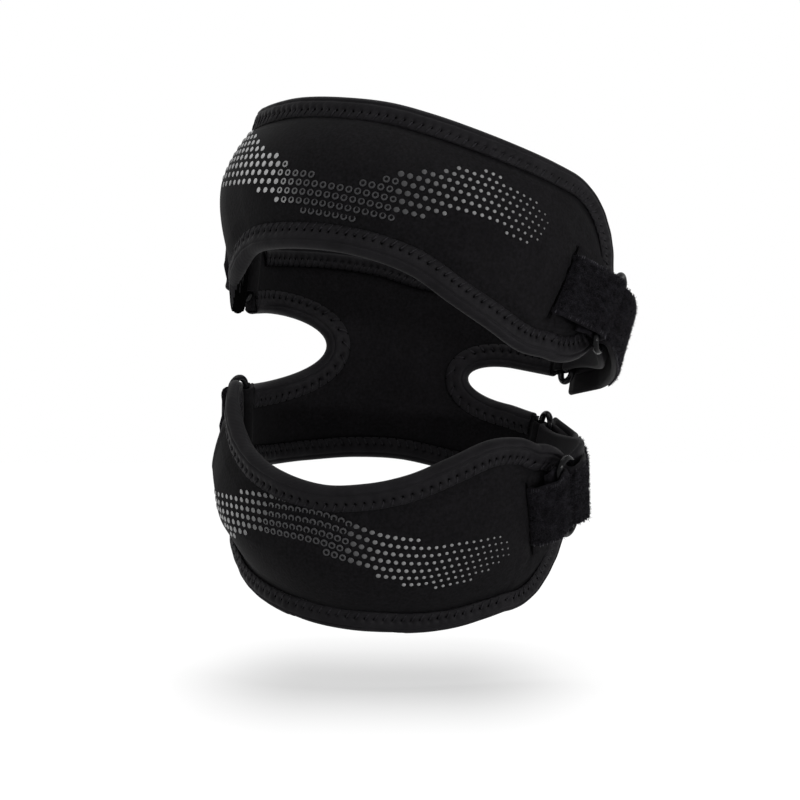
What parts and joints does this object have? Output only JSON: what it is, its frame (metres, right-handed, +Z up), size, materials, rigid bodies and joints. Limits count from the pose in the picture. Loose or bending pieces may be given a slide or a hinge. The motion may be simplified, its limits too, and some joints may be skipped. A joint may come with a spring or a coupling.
{
  "type": "knee strap brace",
  "caption": "Soft knee brace with a padded band above and below the kneecap, joined behind the knee by a notched panel and drawn tight by straps through oval rings.",
  "frame": {"origin": "on the axis of the leg at the bend of the knee, midway between the two bands", "axes": "+Z up the leg, -Y to the front of the knee, +X to the side with the adjusting straps"},
  "size_m": [0.1264, 0.1146, 0.1517],
  "materials": {
    "neoprene": "black knit jersey bonded to neoprene foam, matte, with a halftone dot print on the pads",
    "tape": "black stretch edge tape with a slight sheen and a row of overlock stitches",
    "pile": "black brushed loop pile webbing with a ribbed selvedge",
    "strap": "black smooth strap, matte",
    "ring": "black moulded oval ring, glossy"
  },
  "bodies": {
    "root": {"rear_panel": "neoprene", "upper_pad": "neoprene", "lower_pad": "neoprene", "rear_binding_top": "tape", "rear_binding_bottom": "tape", "rear_binding_left": "tape", "rear_binding_right": "tape", "upper_pad_binding": "tape", "lower_pad_binding": "tape", "upper_right_tab": "pile", "lower_right_tab": "pile", "upper_left_tab": "pile", "lower_left_tab": "pile", "upper_right_strap": "strap", "lower_right_strap": "strap", "upper_right_front_ring": "ring", "lower_right_front_ring": "ring", "upper_right_rear_ring": "ring", "lower_right_rear_ring": "ring", "upper_left_ring": "ring", "lower_left_ring": "ring"}
  },
  "joints": []
}
